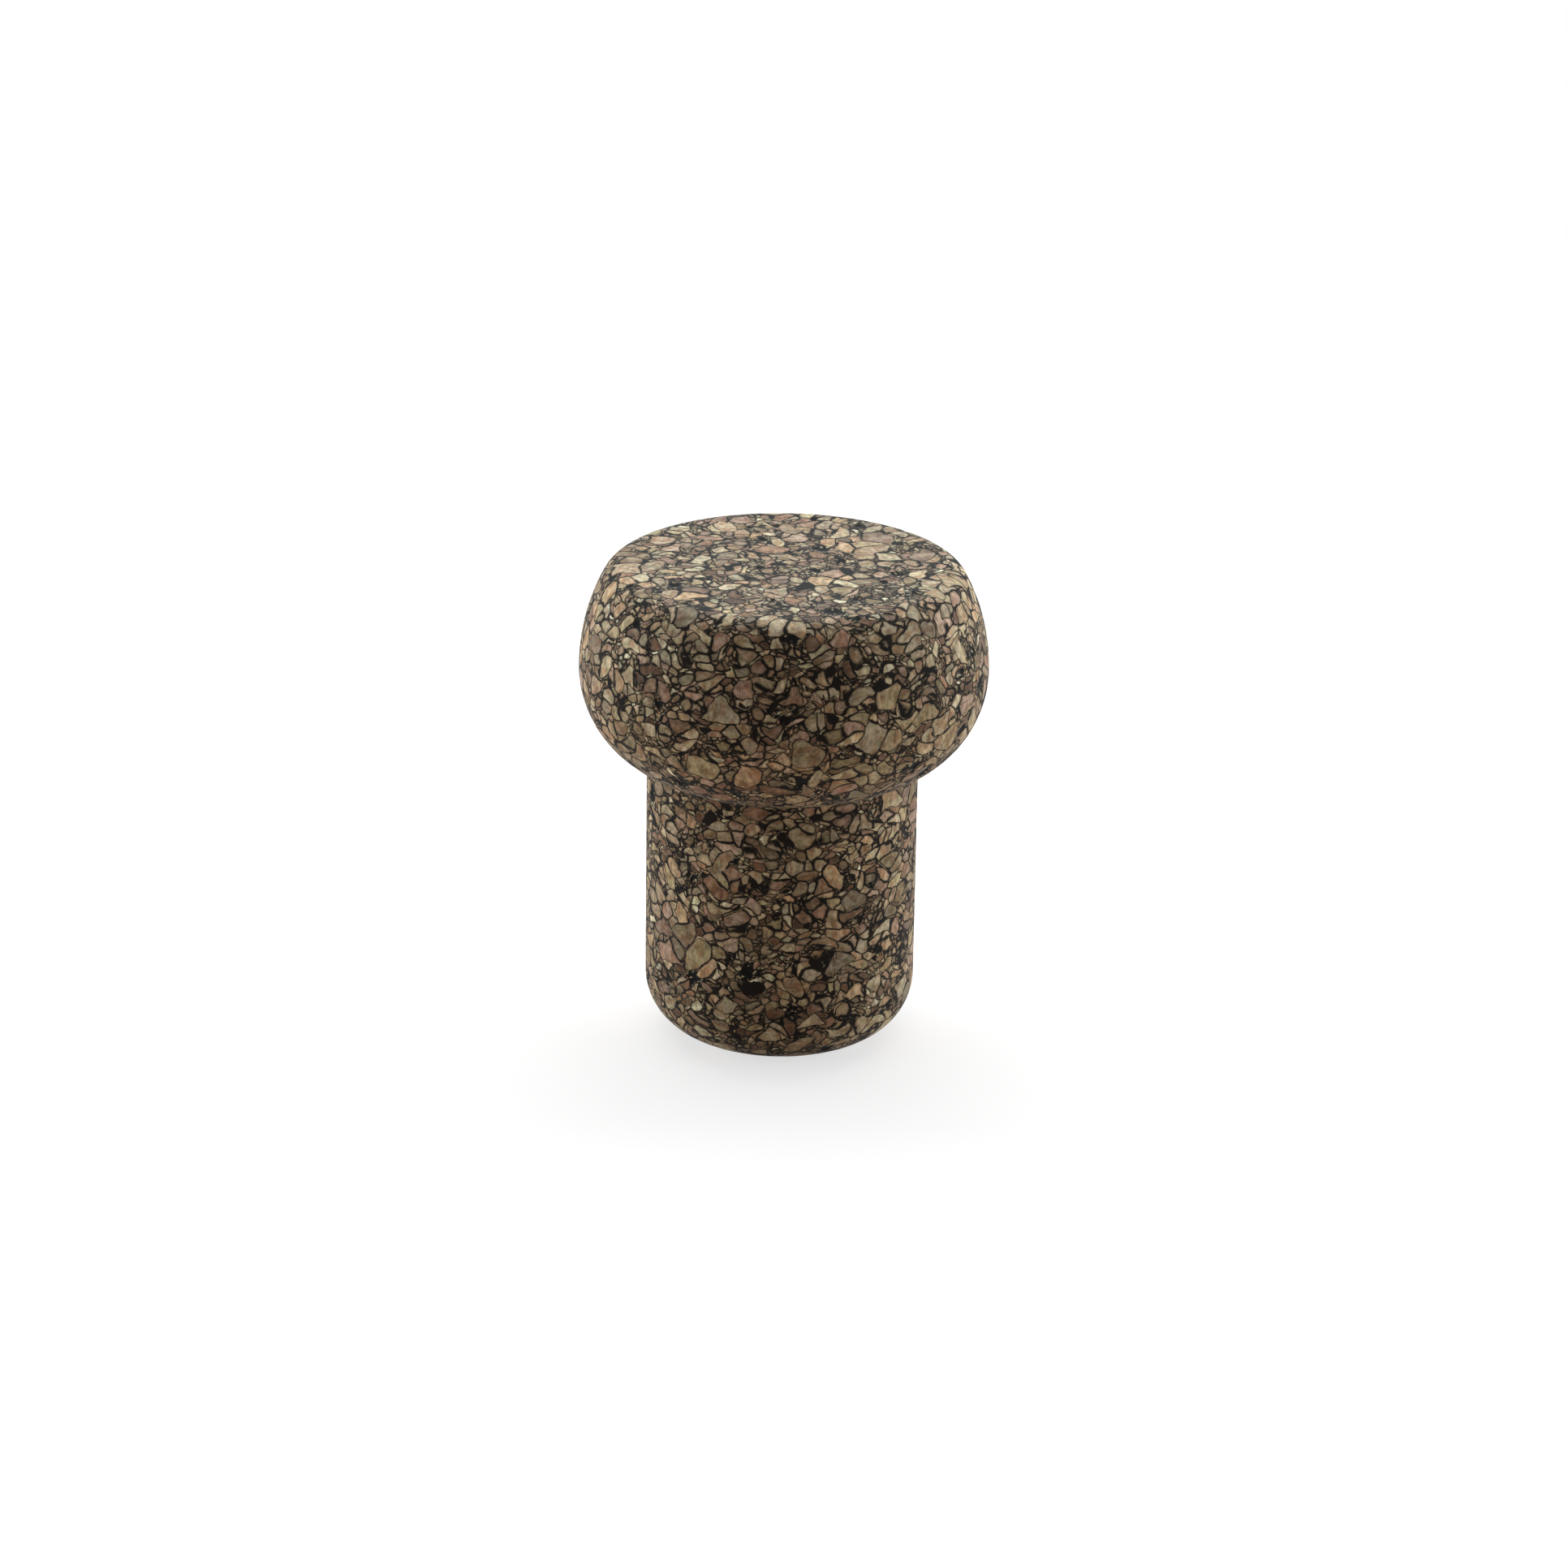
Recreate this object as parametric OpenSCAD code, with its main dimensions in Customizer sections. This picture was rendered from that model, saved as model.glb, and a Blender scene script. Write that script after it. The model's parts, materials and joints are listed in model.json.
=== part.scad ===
// Mushroom-headed stopper, one solid body of bonded cork granules, turned about Z.
// It stands on the foot of its shank, and the origin is the centre of that foot.

/* [Shank] */
// Diameter of the straight shank, which is pressed into a neck
shank_d = 30; // [25:0.1:36]
// Height from the foot to the top of the straight shank, where the hollow at the neck begins
shank_h = 31.2; // [20:0.1:60]
// Radius of the rounded edge around the foot
foot_r = 6.6; // [1:0.1:11]

/* [Head] */
// Diameter of the head at its widest line
head_d = 45; // [37.5:0.1:54]
// Height from the top of the straight shank up to the head's widest line
under_h = 11.4; // [9:0.1:15]
// Height from the widest line up to the flat top
crown_h = 11.6; // [9:0.1:15]
// How far the edge of the flat top lies inside the widest line
top_inset = 5; // [4:0.1:9]
// Radius of the soft rim between the side and the flat top
rim_r = 2.8; // [1:0.1:4.5]
// Radius of the small hollow between the shank and the underside of the head
neck_r = 0.75; // [0.3:0.05:2]

/* [Hidden] */
$fn = 180;
cork = [0.42, 0.33, 0.23];

shank_r = shank_d / 2;
head_r = head_d / 2;
widest_z = shank_h + under_h;
top_z = widest_z + crown_h;

// Hollow at the neck: its circle touches the shank
neck_x = shank_r + neck_r;
neck_z = shank_h;

// Underside arc: upright at the widest line, and it touches the hollow's circle from outside
overhang = head_r - shank_r;
under_r = (pow(under_h, 2) + pow(overhang, 2)) / (2 * overhang) - neck_r;
under_x = head_r - under_r;

// Rim arc: its circle touches the flat top at the edge of the flat
rim_x = head_r - top_inset;
rim_z = top_z - rim_r;

// Side arc: upright at the widest line, and the rim's circle touches it from inside
rim_rise = rim_z - widest_z;
side_r = (pow(top_inset, 2) + pow(rim_rise, 2) - pow(rim_r, 2)) / (2 * (top_inset - rim_r));
side_x = head_r - side_r;

// Shank with its rounded foot, run up inside the head as far as the widest line
module shank_outline() {
    square([shank_r - foot_r, foot_r]);
    translate([shank_r - foot_r, foot_r])
        circle(foot_r);
    translate([0, foot_r])
        square([shank_r, widest_z - foot_r]);
}

// Underside of the head, which is the lower half of a disc, and the fillet left by the hollow
module underside_outline() {
    centre = [under_x, widest_z];
    hollow = [neck_x, neck_z];
    intersection() {
        translate(centre)
            circle(under_r);
        translate(centre - [2 * under_r, 2 * under_r])
            square([4 * under_r, 2 * under_r]);
    }
    difference() {
        polygon([centre, [0, neck_z], hollow]);
        translate(hollow)
            circle(neck_r);
    }
}

// Upper part of the head: core under the flat top, rim, and the side up to where the rim takes over
module crown_outline() {
    centre = [side_x, widest_z];
    rim = [rim_x, rim_z];
    past_rim = centre + 2 * side_r * (rim - centre) / norm(rim - centre);
    translate([0, widest_z])
        square([rim_x, crown_h]);
    translate(rim)
        circle(rim_r);
    intersection() {
        translate(centre)
            circle(side_r);
        polygon([centre, centre + [2 * side_r, 0], past_rim]);
    }
}

// The outlines are cut off at the axis and turned about it
module stopper() {
    color(cork)
        rotate_extrude()
            intersection() {
                square([head_d, 2 * top_z]);
                union() {
                    shank_outline();
                    underside_outline();
                    crown_outline();
                }
            }
}

stopper();
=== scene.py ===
import json
import math

import bpy
import numpy as np
from mathutils import Euler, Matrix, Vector, noise


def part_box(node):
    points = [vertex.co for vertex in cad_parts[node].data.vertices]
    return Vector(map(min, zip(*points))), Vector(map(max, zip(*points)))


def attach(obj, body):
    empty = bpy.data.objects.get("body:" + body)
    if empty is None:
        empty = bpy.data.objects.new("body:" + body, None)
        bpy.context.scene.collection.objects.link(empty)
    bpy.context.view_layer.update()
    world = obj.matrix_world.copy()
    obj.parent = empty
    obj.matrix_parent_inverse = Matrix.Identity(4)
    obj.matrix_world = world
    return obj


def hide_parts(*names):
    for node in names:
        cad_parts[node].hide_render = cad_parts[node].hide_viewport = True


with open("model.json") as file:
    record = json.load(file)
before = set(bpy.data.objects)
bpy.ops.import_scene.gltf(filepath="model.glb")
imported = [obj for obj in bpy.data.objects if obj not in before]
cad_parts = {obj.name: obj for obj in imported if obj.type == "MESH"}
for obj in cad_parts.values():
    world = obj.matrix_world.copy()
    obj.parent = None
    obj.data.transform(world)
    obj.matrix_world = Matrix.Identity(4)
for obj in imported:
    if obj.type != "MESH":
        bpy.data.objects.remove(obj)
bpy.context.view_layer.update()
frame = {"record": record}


# Stopper: one body of bonded cork. Granules of bark are pressed into a block with a near-black
# binder, the block is turned to this mushroom form, and the skin is sanded to a dry satin.

MM = 0.001

# Sizes that the frame gives: the straight shank is the pin mount, and the box gives head and height
pin = next(m for m in frame["record"]["mounts"] if m["name"] == "shank")
shank_r = pin["dims"]["r_mm"]
foot_r = pin["pos_m"][2] / MM - pin["dims"]["length_mm"] / 2
neck_z = foot_r + pin["dims"]["length_mm"]
low, high = (np.array(corner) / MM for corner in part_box("stopper"))
head_r = (high[0] - low[0]) / 2
top_z = high[2]

# Sizes of the head's outline, in millimetres
under_h = 11.4
top_inset = 5.0
rim_r = 2.8
neck_r = 0.75

widest_z = neck_z + under_h
overhang = head_r - shank_r
under_r = (under_h ** 2 + overhang ** 2) / (2 * overhang) - neck_r
under_x = head_r - under_r
rim_x = head_r - top_inset
rim_z = top_z - rim_r
rim_rise = rim_z - widest_z
side_r = (top_inset ** 2 + rim_rise ** 2 - rim_r ** 2) / (2 * (top_inset - rim_r))
side_x = head_r - side_r
neck_turn = math.atan2(under_h, shank_r + neck_r - under_x)
rim_turn = math.atan2(rim_rise, rim_x - side_x)

# Distance between neighbouring points of a ring, and between one ring and the next
SKIN_STEP = 0.315
RING_STEP = SKIN_STEP * 0.866
QUARTER_TURN = math.pi / 2


def arc(x, z, r, start, end):
    """Points of a round stretch of the outline, from one angle to the other, without the last."""
    count = max(2, round(r * abs(end - start) / RING_STEP))
    turn = np.linspace(start, end, count, endpoint=False)
    return np.c_[x + r * np.cos(turn), z + r * np.sin(turn)]


def line(x0, z0, x1, z1):
    """Points of a straight stretch of the outline, without the last."""
    count = max(2, round(math.hypot(x1 - x0, z1 - z0) / RING_STEP))
    return np.linspace((x0, z0), (x1, z1), count, endpoint=False)


outline = np.vstack([
    line(0, 0, shank_r - foot_r, 0),
    arc(shank_r - foot_r, foot_r, foot_r, -QUARTER_TURN, 0),
    line(shank_r, foot_r, shank_r, neck_z),
    arc(shank_r + neck_r, neck_z, neck_r, math.pi, math.pi - neck_turn),
    arc(under_x, widest_z, under_r, -neck_turn, 0),
    arc(side_x, widest_z, side_r, 0, rim_turn),
    arc(rim_x, rim_z, rim_r, rim_turn, QUARTER_TURN),
    line(rim_x, top_z, 0, top_z),
    [[0, top_z]],
])


def ring_count(x):
    """How many points a ring has, so that the skin's triangles are all about one size."""
    return 1 if x < SKIN_STEP / 2 else max(6, round(2 * math.pi * x / SKIN_STEP))


def skin_mesh():
    """The turned body as a closed skin of even triangles, ring by ring from the foot to the top."""
    points, rings, faces = [], [], []
    for x, z in outline:
        count = ring_count(x)
        turn = 2 * math.pi * np.arange(count) / count
        rings.append(range(len(points), len(points) + count))
        points.extend(zip(x * np.cos(turn) * MM, x * np.sin(turn) * MM, np.full(count, z * MM)))
    for below, above in zip(rings[:-1], rings[1:]):
        # Walk round both rings at once, each time stepping on the ring that has fallen behind
        a, b = 0, 0
        steps_below = len(below) if len(below) > 1 else 0
        steps_above = len(above) if len(above) > 1 else 0
        while a < steps_below or b < steps_above:
            here = (below[a % len(below)], above[b % len(above)])
            if b == steps_above or (a < steps_below and (a + 1) * len(above) <= (b + 1) * len(below)):
                a += 1
                faces.append((here[0], below[a % len(below)], here[1]))
            else:
                b += 1
                faces.append((here[0], above[b % len(above)], here[1]))
    mesh = bpy.data.meshes.new("stopper_skin")
    mesh.from_pydata(points, [], faces)
    return mesh


# Pits where the coarse granules didn't meet: how many at most, how far apart and how deep
PITS = 130
PIT_APART = 2.7
PIT_DEEP = 0.16
# Half-width of the smallest pit, how much wider the widest is, and how many half-widths a pit reaches
PIT_LEAST, PIT_SPREAD = 0.35, 0.65
PIT_REACH = 1.35
# Slight pillows over the whole skin
PILLOW_DEEP = 0.035
PILLOWS_PER_MM = 0.85


def pit_places(points):
    """Middles and half-widths of the pits, at random places of the skin, but not too close together."""
    chance = np.random.default_rng(11)
    middles = []
    for spot in points[chance.integers(0, len(points), PITS * 3)]:
        if len(middles) < PITS and all(np.linalg.norm(spot - other) > PIT_APART for other in middles):
            middles.append(spot)
    return np.array(middles), PIT_LEAST + PIT_SPREAD * chance.random(len(middles)) ** 1.6


def press_in(mesh):
    """Sinks the pits and the pillows into the skin, and notes each point's nearest pit for the cork."""
    count = len(mesh.vertices)
    points, normals = np.empty(count * 3), np.empty(count * 3)
    mesh.vertices.foreach_get("co", points)
    mesh.vertex_normals.foreach_get("vector", normals)
    points, normals = points.reshape(-1, 3) / MM, normals.reshape(-1, 3)
    middles, widths = pit_places(points)
    away = np.full(count, np.inf)
    nearest = np.zeros(count, int)
    for number, middle in enumerate(middles):
        off = np.linalg.norm(points - middle, axis=1)
        nearest = np.where(off < away, number, nearest)
        away = np.minimum(away, off)
    sunk = np.clip(PIT_REACH - away / widths[nearest], 0, 1)
    pillow = np.array([noise.noise(Vector(point * PILLOWS_PER_MM)) for point in points])
    depth = PIT_DEEP * sunk ** 2 * (3 - 2 * sunk) + PILLOW_DEEP * (0.5 + 0.5 * pillow)
    mesh.vertices.foreach_set("co", ((points - normals * depth[:, None]) * MM).ravel())
    pit_middle = mesh.attributes.new("pit_middle", "FLOAT_VECTOR", "POINT")
    pit_middle.data.foreach_set("vector", middles[nearest].astype(np.float32).ravel())
    pit_width = mesh.attributes.new("pit_width", "FLOAT", "POINT")
    pit_width.data.foreach_set("value", widths[nearest].astype(np.float32))
    mesh.update()
    mesh.shade_smooth()


def add(tree, kind, sockets=(), **options):
    """A new node with its options set and its inputs filled with values or with other outputs."""
    node = tree.nodes.new(kind)
    for name, value in options.items():
        setattr(node, name, value)
    for name, value in dict(sockets).items():
        if isinstance(value, bpy.types.NodeSocket):
            tree.links.new(value, node.inputs[name])
        else:
            node.inputs[name].default_value = value
    return node


def calc(tree, operation, *values):
    """The result of a sum on plain numbers."""
    return add(tree, "ShaderNodeMath", enumerate(values), operation=operation).outputs[0]


def vector_calc(tree, operation, *values):
    """The result of a sum on vectors."""
    return add(tree, "ShaderNodeVectorMath", enumerate(values), operation=operation).outputs[0]


def scaled(tree, vector, scale):
    """A vector or colour times a number."""
    return add(tree, "ShaderNodeVectorMath", {0: vector, "Scale": scale}, operation="SCALE").outputs[0]


def distance(tree, a, b):
    """How far two places lie apart."""
    return add(tree, "ShaderNodeVectorMath", {0: a, 1: b}, operation="DISTANCE").outputs["Value"]


def between(tree, factor, a, b):
    """Number a where the factor is 0 and number b where it is 1."""
    return add(tree, "ShaderNodeMix", {"Factor": factor, "A": a, "B": b}, data_type="FLOAT").outputs[0]


def blend(tree, factor, a, b):
    """Colour a where the factor is 0 and colour b where it is 1."""
    return add(tree, "ShaderNodeMix", {"Factor": factor, 6: a, 7: b}, data_type="RGBA").outputs[2]


def ease(tree, value, low, high, to_low=0.0, to_high=1.0):
    """A soft step: one result below the low mark, the other above the high mark."""
    sockets = {"Value": value, "From Min": low, "From Max": high, "To Min": to_low, "To Max": to_high}
    return add(tree, "ShaderNodeMapRange", sockets, interpolation_type="SMOOTHSTEP").outputs[0]


def spread(tree, share, low, high):
    """A share from 0 to 1 spread evenly from the low to the high value."""
    return add(tree, "ShaderNodeMapRange", {"Value": share, "To Min": low, "To Max": high}).outputs[0]


def cloud(tree, place, scale, detail=0.0, rough=0.5):
    """Soft random patches, as a level and as a colour."""
    sockets = {"Vector": place, "Scale": scale, "Detail": detail, "Roughness": rough}
    return add(tree, "ShaderNodeTexNoise", sockets).outputs


def channels(tree, colour):
    """The three numbers that a colour holds."""
    return add(tree, "ShaderNodeSeparateColor", {"Color": colour}).outputs


def linear(r, g, b):
    """A colour written in the usual 0 to 255 steps, as the shader's linear numbers."""
    steps = (c / 255 for c in (r, g, b))
    return tuple(c / 12.92 if c <= 0.04045 else ((c + 0.055) / 1.055) ** 2.4 for c in steps) + (1.0,)


def granules_group():
    """One size of granule: what lies in a granule, what in the seam round it, and its random tint."""
    group = bpy.data.node_groups.new("granules", "ShaderNodeTree")
    face = group.interface
    for name in ("Place", "Pit Middle"):
        face.new_socket(name, in_out="INPUT", socket_type="NodeSocketVector")
    for name in ("Pit Width", "Size", "Share", "Share In Pit", "Seam"):
        face.new_socket(name, in_out="INPUT", socket_type="NodeSocketFloat")
    for name in ("Granule", "Clearing", "Depth"):
        face.new_socket(name, in_out="OUTPUT", socket_type="NodeSocketFloat")
    face.new_socket("Tint", in_out="OUTPUT", socket_type="NodeSocketColor")
    given = group.nodes.new("NodeGroupInput").outputs
    result = group.nodes.new("NodeGroupOutput").inputs
    size, seam = given["Size"], given["Seam"]

    # Each granule is its cell with the corners rounded off at a random reach from the middle
    place = {"Vector": scaled(group, given["Place"], calc(group, "DIVIDE", 1.0, size)), "Scale": 1.0}
    cell = add(group, "ShaderNodeTexVoronoi", place, feature="F1").outputs
    wall = add(group, "ShaderNodeTexVoronoi", place, feature="DISTANCE_TO_EDGE").outputs
    tint = channels(group, cell["Color"])
    from_corner = calc(group, "SUBTRACT", spread(group, tint["Green"], 0.55, 0.95), cell["Distance"])
    depth = calc(group, "SMOOTH_MIN", wall["Distance"], from_corner, 0.06)
    depth = calc(group, "MULTIPLY", depth, size)

    # Whole granules are missing where their middle lies in a pit, and more are missing in some stretches
    middle = scaled(group, cell["Position"], size)
    clump = cloud(group, middle, 0.22)[0]
    share = calc(group, "MULTIPLY_ADD", calc(group, "SUBTRACT", clump, 0.5), 1.5, given["Share"])
    pit_reach = calc(group, "MULTIPLY_ADD", size, 0.3, given["Pit Width"])
    in_pit = calc(group, "LESS_THAN", distance(group, middle, given["Pit Middle"]), pit_reach)
    share = between(group, in_pit, share, given["Share In Pit"])
    present = calc(group, "LESS_THAN", tint["Blue"], share)

    # A granule ends at its seam, and clears the finer ones away as far as the seam's outer side
    soft = 0.06
    outer = calc(group, "MULTIPLY", seam, -0.6)
    granule = ease(group, depth, calc(group, "SUBTRACT", seam, soft), calc(group, "ADD", seam, soft))
    clearing = ease(group, depth, calc(group, "SUBTRACT", outer, soft), calc(group, "ADD", outer, soft))

    # A charred granule is as black as the binder round it
    charred = calc(group, "LESS_THAN", tint["Red"], 0.016)
    bare = calc(group, "MAXIMUM", calc(group, "SUBTRACT", present, charred), 0.0)
    group.links.new(calc(group, "MULTIPLY", granule, bare), result["Granule"])
    group.links.new(calc(group, "MULTIPLY", clearing, present), result["Clearing"])
    group.links.new(calc(group, "SUBTRACT", depth, seam), result["Depth"])
    group.links.new(cell["Color"], result["Tint"])
    return group


def drift(tree, place, scale, amount, detail=0.0):
    """Bends space a little, by up to half the amount in millimetres, so that no wall runs straight."""
    wobble = cloud(tree, place, scale, detail)["Color"]
    return scaled(tree, vector_calc(tree, "SUBTRACT", wobble, (0.5, 0.5, 0.5)), amount)


# Each sieve of granules, finest first: size in millimetres, share of the cells that are filled, share
# filled in a pit, seam, how much longer than thick a granule is, turn of its length, and range of the tint
SIEVES = (
    (0.42, 0.88, 0.30, 0.050, 1.00, (0.0, 0.0, 0.0), 0.3, 0.92),
    (0.65, 0.84, 0.06, 0.070, 1.40, (0.2, 1.4, 0.3), 0.0, 1.0),
    (1.02, 0.82, 0.00, 0.085, 1.50, (0.3, 1.5, -0.4), 0.0, 0.95),
    (1.56, 0.56, 0.00, 0.095, 1.50, (-0.2, 1.7, 0.9), 0.1, 0.88),
    (2.50, 0.10, 0.00, 0.100, 1.40, (0.3, 1.2, -1.1), 0.2, 0.8),
)

# Each sieve's cells are moved by this many times its size, so that no two patterns line up
SIEVE_SHIFT = (-5.0, 13.0, 40.0)


def pressed_granules(tree, spot):
    """Granules of five sizes, the coarse ones laid over the fine ones, as they're pressed together."""
    bend = vector_calc(tree, "ADD", drift(tree, spot, 0.3, 2.4), drift(tree, spot, 1.3, 0.42, 2.0))
    place = vector_calc(tree, "ADD", spot, bend)
    pit_width = add(tree, "ShaderNodeAttribute", attribute_name="pit_width").outputs["Fac"]
    pit_middle = add(tree, "ShaderNodeAttribute", attribute_name="pit_middle").outputs["Vector"]
    past_pit = calc(tree, "SUBTRACT", distance(tree, spot, pit_middle), pit_width)
    in_pit = ease(tree, past_pit, -0.1, 0.5, 1.0, 0.0)
    pit_middle = vector_calc(tree, "ADD", pit_middle, bend)
    # The seams are wide in some stretches and hardly there in others
    thick = ease(tree, cloud(tree, spot, 0.5, 2.0, 0.6)[0], 0.35, 0.65, 0.7, 1.4)
    granules = granules_group()
    solid = tint = depth = None
    for size, share, share_in_pit, seam, longer, turn, least, most in SIEVES:
        # Pressing leaves a granule longest along the layer, less wide across it, and thinnest upright
        cells = {"Location": tuple(step * size for step in SIEVE_SHIFT), "Rotation": turn,
                 "Scale": (1.0, 0.4 + 0.6 * longer, longer)}
        here = add(tree, "ShaderNodeMapping", {"Vector": place, **cells}, vector_type="TEXTURE")
        pit = add(tree, "ShaderNodeMapping", {"Vector": pit_middle, **cells}, vector_type="TEXTURE")
        sockets = {"Place": here.outputs[0], "Pit Middle": pit.outputs[0], "Pit Width": pit_width,
                   "Size": size, "Share": share, "Share In Pit": share_in_pit,
                   "Seam": calc(tree, "MULTIPLY", thick, seam)}
        out = add(tree, "ShaderNodeGroup", sockets, node_tree=granules).outputs
        own = vector_calc(tree, "MULTIPLY_ADD", out["Tint"], (most - least, 1.0, 1.0), (least, 0.0, 0.0))
        if solid is None:
            solid, tint, depth = out["Granule"], own, out["Depth"]
            continue
        kept = calc(tree, "MULTIPLY", solid, calc(tree, "SUBTRACT", 1.0, out["Clearing"]))
        solid = calc(tree, "MAXIMUM", kept, out["Granule"])
        tint = blend(tree, out["Granule"], tint, own)
        depth = between(tree, out["Granule"], depth, out["Depth"])
    return solid, tint, depth, in_pit


# Bark, from charred through red-brown and olive to the pale inner cork, by place on the scale of tints
BARK_COLOURS = (
    (0.00, (84, 62, 48)),
    (0.13, (139, 104, 81)),
    (0.25, (161, 131, 112)),
    (0.38, (157, 136, 103)),
    (0.50, (172, 138, 107)),
    (0.64, (155, 136, 112)),
    (0.82, (179, 155, 123)),
    (1.00, (209, 200, 171)),
)
RUST = (0.72, 0.56, 0.48)
OLIVE = (0.84, 0.90, 0.78)
BINDER_BROWN = linear(21, 14, 9)
BINDER_BLACK = linear(12, 9, 7)


def bark_ramp(tree, tint):
    """Bark colour of a granule by its tint."""
    ramp = add(tree, "ShaderNodeValToRGB", {"Fac": tint})
    elements = ramp.color_ramp.elements
    while len(elements) < len(BARK_COLOURS):
        elements.new(0.5)
    for element, (position, colour) in zip(elements, BARK_COLOURS):
        element.position = position
        element.color = linear(*colour)
    return ramp.outputs["Color"]


def cork_material():
    """Bonded cork: bark granules in a near-black binder, sanded, dry and nearly without gloss."""
    material = bpy.data.materials.new("bonded_cork")
    material.use_nodes = True
    tree = material.node_tree
    tree.nodes.clear()
    spot = scaled(tree, add(tree, "ShaderNodeTexCoord").outputs["Object"], 1 / MM)
    solid, tint, depth, in_pit = pressed_granules(tree, spot)
    chance = channels(tree, tint)
    bark = bark_ramp(tree, chance["Red"])

    # Each granule has its own lightness, blotches and streaks that run its own way, rusty and olive
    # patches, fine flecks, and an edge that sinks into the binder
    along = calc(tree, "GREATER_THAN", chance["Green"], 0.5)
    along = blend(tree, along, (1.2, 1.5, 2.1, 1), (2.0, 1.8, 1.1, 1))
    stretched = vector_calc(tree, "MULTIPLY", spot, along)
    grain_place = vector_calc(tree, "ADD", stretched, scaled(tree, tint, 40.0))
    grain = cloud(tree, grain_place, 0.9, 3.0, 0.7)[0]
    mottle = cloud(tree, grain_place, 0.5, 2.0, 0.6)
    patches = channels(tree, mottle["Color"])
    fleck = cloud(tree, spot, 4.0, 2.0, 0.7)[0]
    light = spread(tree, chance["Green"], 0.56, 1.28)
    light = calc(tree, "MULTIPLY", light, ease(tree, grain, 0.3, 0.7, 0.6, 1.4))
    light = calc(tree, "MULTIPLY", light, ease(tree, fleck, 0.3, 0.45, 0.7, 1.0))
    light = calc(tree, "MULTIPLY", light, ease(tree, depth, -0.02, 0.14, 0.75, 1.0))
    olive = ease(tree, patches["Blue"], 0.45, 0.62, 0.0, 0.8)
    rust = ease(tree, patches["Green"], 0.44, 0.62, 0.0, 0.95)
    cork = blend(tree, olive, bark, vector_calc(tree, "MULTIPLY", bark, OLIVE))
    cork = blend(tree, rust, cork, vector_calc(tree, "MULTIPLY", cork, RUST))
    cork = scaled(tree, cork, light)

    # The binder is blackest in the pits and in some stretches of seam, and rougher than the cut bark
    blackest = calc(tree, "MAXIMUM", in_pit, ease(tree, mottle[0], 0.5, 0.62))
    binder = blend(tree, blackest, BINDER_BROWN, BINDER_BLACK)
    bump = add(tree, "ShaderNodeBump", {"Height": fleck, "Strength": 0.35, "Distance": 0.05 * MM})
    shader = add(tree, "ShaderNodeBsdfPrincipled", {
        "Base Color": blend(tree, solid, binder, cork),
        "Roughness": ease(tree, solid, 0.0, 1.0, 0.85, 0.6),
        "Normal": bump.outputs[0],
        "Specular IOR Level": 0.08,
        "Sheen Weight": 0.05,
        "Sheen Roughness": 0.5,
    })
    output = add(tree, "ShaderNodeOutputMaterial")
    tree.links.new(shader.outputs[0], output.inputs[0])
    return material


skin = skin_mesh()
press_in(skin)
stopper = bpy.data.objects.new("stopper_body", skin)
bpy.context.collection.objects.link(stopper)
stopper.data.materials.append(cork_material())
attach(stopper, "root")
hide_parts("stopper")


# Floor: a plain white sweep under the stopper, out past the picture on every side. It takes the
# stopper's soft shadow, and away from the stopper it is pure white to the camera.

FLOOR_SIZE = 6.0
# Colour that lights the stopper from below, and colour that the camera sees as white under these lamps
FLOOR_BOUNCE = (0.49, 0.39, 0.32, 1)
FLOOR_SEEN = (1.0, 0.86, 0.796, 1)
# How far from the stopper the white grows from part to full
GLOW_FROM, GLOW_TO = 0.06, 0.3
GLOW_NEAR = 0.65


def seen_by_camera(tree):
    """1 for what the camera sees straight or in gloss and glass, 0 for light that falls on things."""
    path = add(tree, "ShaderNodeLightPath").outputs
    mirrored = calc(tree, "MAXIMUM", path["Is Glossy Ray"], path["Is Transmission Ray"])
    return calc(tree, "MAXIMUM", path["Is Camera Ray"], mirrored)


bpy.ops.mesh.primitive_plane_add(size=FLOOR_SIZE, location=(0, 0, 0))
floor = bpy.context.object
floor.name = "floor"
floor_material = bpy.data.materials.new("white_sweep")
floor_material.use_nodes = True
tree = floor_material.node_tree
tree.nodes.clear()
seen = seen_by_camera(tree)
sweep = add(tree, "ShaderNodeBsdfDiffuse", {"Color": blend(tree, seen, FLOOR_BOUNCE, FLOOR_SEEN)})
white = add(tree, "ShaderNodeEmission", {"Color": (1, 1, 1, 1), "Strength": 1.0})
from_stopper = distance(tree, add(tree, "ShaderNodeTexCoord").outputs["Object"], (0, 0, 0))
glow = calc(tree, "MULTIPLY", seen, ease(tree, from_stopper, GLOW_FROM, GLOW_TO, GLOW_NEAR, 1.0))
mixed = add(tree, "ShaderNodeMixShader", {0: glow, 1: sweep.outputs[0], 2: white.outputs[0]})
output = add(tree, "ShaderNodeOutputMaterial")
tree.links.new(mixed.outputs[0], output.inputs[0])
floor.data.materials.append(floor_material)


# Light: one wide soft lamp high behind the stopper, a long low one on each side, and a white room
# that the camera sees but that adds only a faint fill.

LAMP_COLOUR = (0.86, 1.0, 1.08)
FILL = (0.04, 0.04, 0.04, 1)
middle = Vector((0, 0, top_z * MM / 2))


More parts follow.
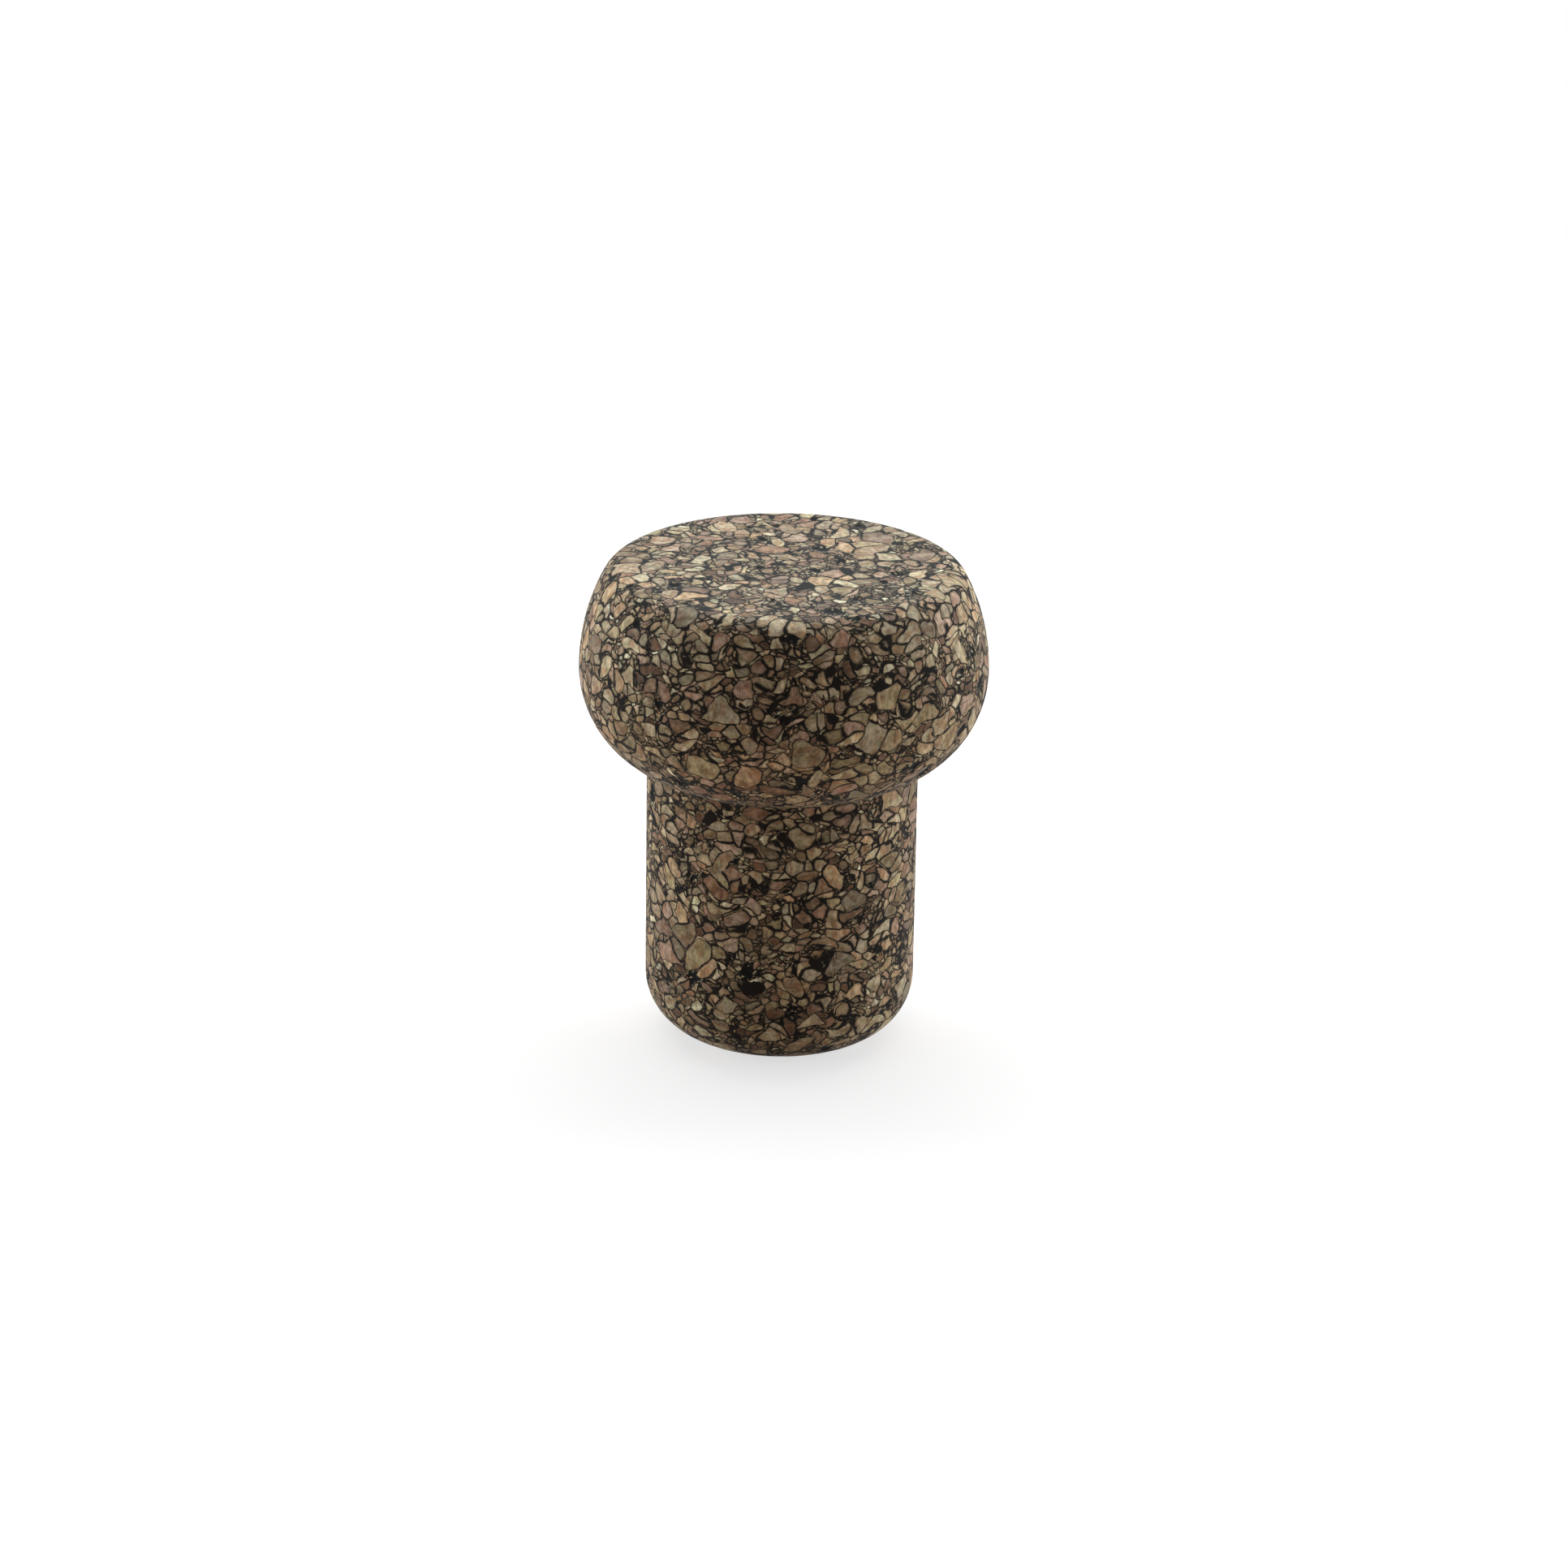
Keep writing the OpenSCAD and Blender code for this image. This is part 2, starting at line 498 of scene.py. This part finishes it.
def soft_lamp(name, azimuth, elevation, away, width, height, radiance):
    """A rectangular lamp that looks at the stopper; azimuth 0 is the camera's side, 90 its right."""
    data = bpy.data.lights.new(name, "AREA")
    data.shape = "RECTANGLE"
    data.size, data.size_y = width, height
    data.energy = math.pi * width * height * radiance
    data.color = LAMP_COLOUR
    lamp = bpy.data.objects.new(name, data)
    bpy.context.collection.objects.link(lamp)
    a, e = math.radians(azimuth), math.radians(elevation)
    outward = Vector((math.sin(a) * math.cos(e), -math.cos(a) * math.cos(e), math.sin(e)))
    lamp.location = middle + outward * away
    lamp.rotation_euler = outward.to_track_quat("Z", "Y").to_euler()


soft_lamp("lamp_behind", 180, 57, 0.8, 1.5, 0.8, 3.9)
soft_lamp("lamp_left", -94, 14, 0.8, 1.1, 0.3, 6.9)
soft_lamp("lamp_right", 97, 14, 0.8, 1.1, 0.3, 7.5)

world = bpy.data.worlds.new("white_room")
bpy.context.scene.world = world
world.use_nodes = True
tree = world.node_tree
tree.nodes.clear()
room = blend(tree, seen_by_camera(tree), FILL, (1, 1, 1, 1))
room = add(tree, "ShaderNodeBackground", {"Color": room, "Strength": 1.0})
output = add(tree, "ShaderNodeOutputWorld")
tree.links.new(room.outputs[0], output.inputs[0])


# Camera: at the photograph's angle, 0.6 m away, looking down at 21 degrees and leaning a little,
# with the point on the axis at AIM_Z falling on the pixel AIM_PX.

FRAME_PX = 1932
PX_PER_MM = 11.14
CAMERA_AWAY = 600.0
LOOK_DOWN = math.radians(21.3)
LEAN = math.radians(0.91)
AIM_Z = 28.8
AIM_PX = (963.7, 964.1)

data = bpy.data.cameras.new("camera")
data.sensor_width = 36.0
data.lens = data.sensor_width * CAMERA_AWAY / (FRAME_PX / PX_PER_MM)
camera = bpy.data.objects.new("camera", data)
bpy.context.collection.objects.link(camera)
tilt = Euler((math.pi / 2 - LOOK_DOWN, 0, 0)).to_matrix()
turned = tilt @ Euler((0, 0, LEAN)).to_matrix()
camera.rotation_euler = turned.to_euler()
off_x = (FRAME_PX / 2 - AIM_PX[0]) / PX_PER_MM
off_y = (AIM_PX[1] - FRAME_PX / 2) / PX_PER_MM
camera.location = (Vector((0, 0, AIM_Z)) + turned @ Vector((off_x, off_y, CAMERA_AWAY))) * MM
bpy.context.scene.camera = camera
bpy.context.scene.view_settings.view_transform = "Standard"
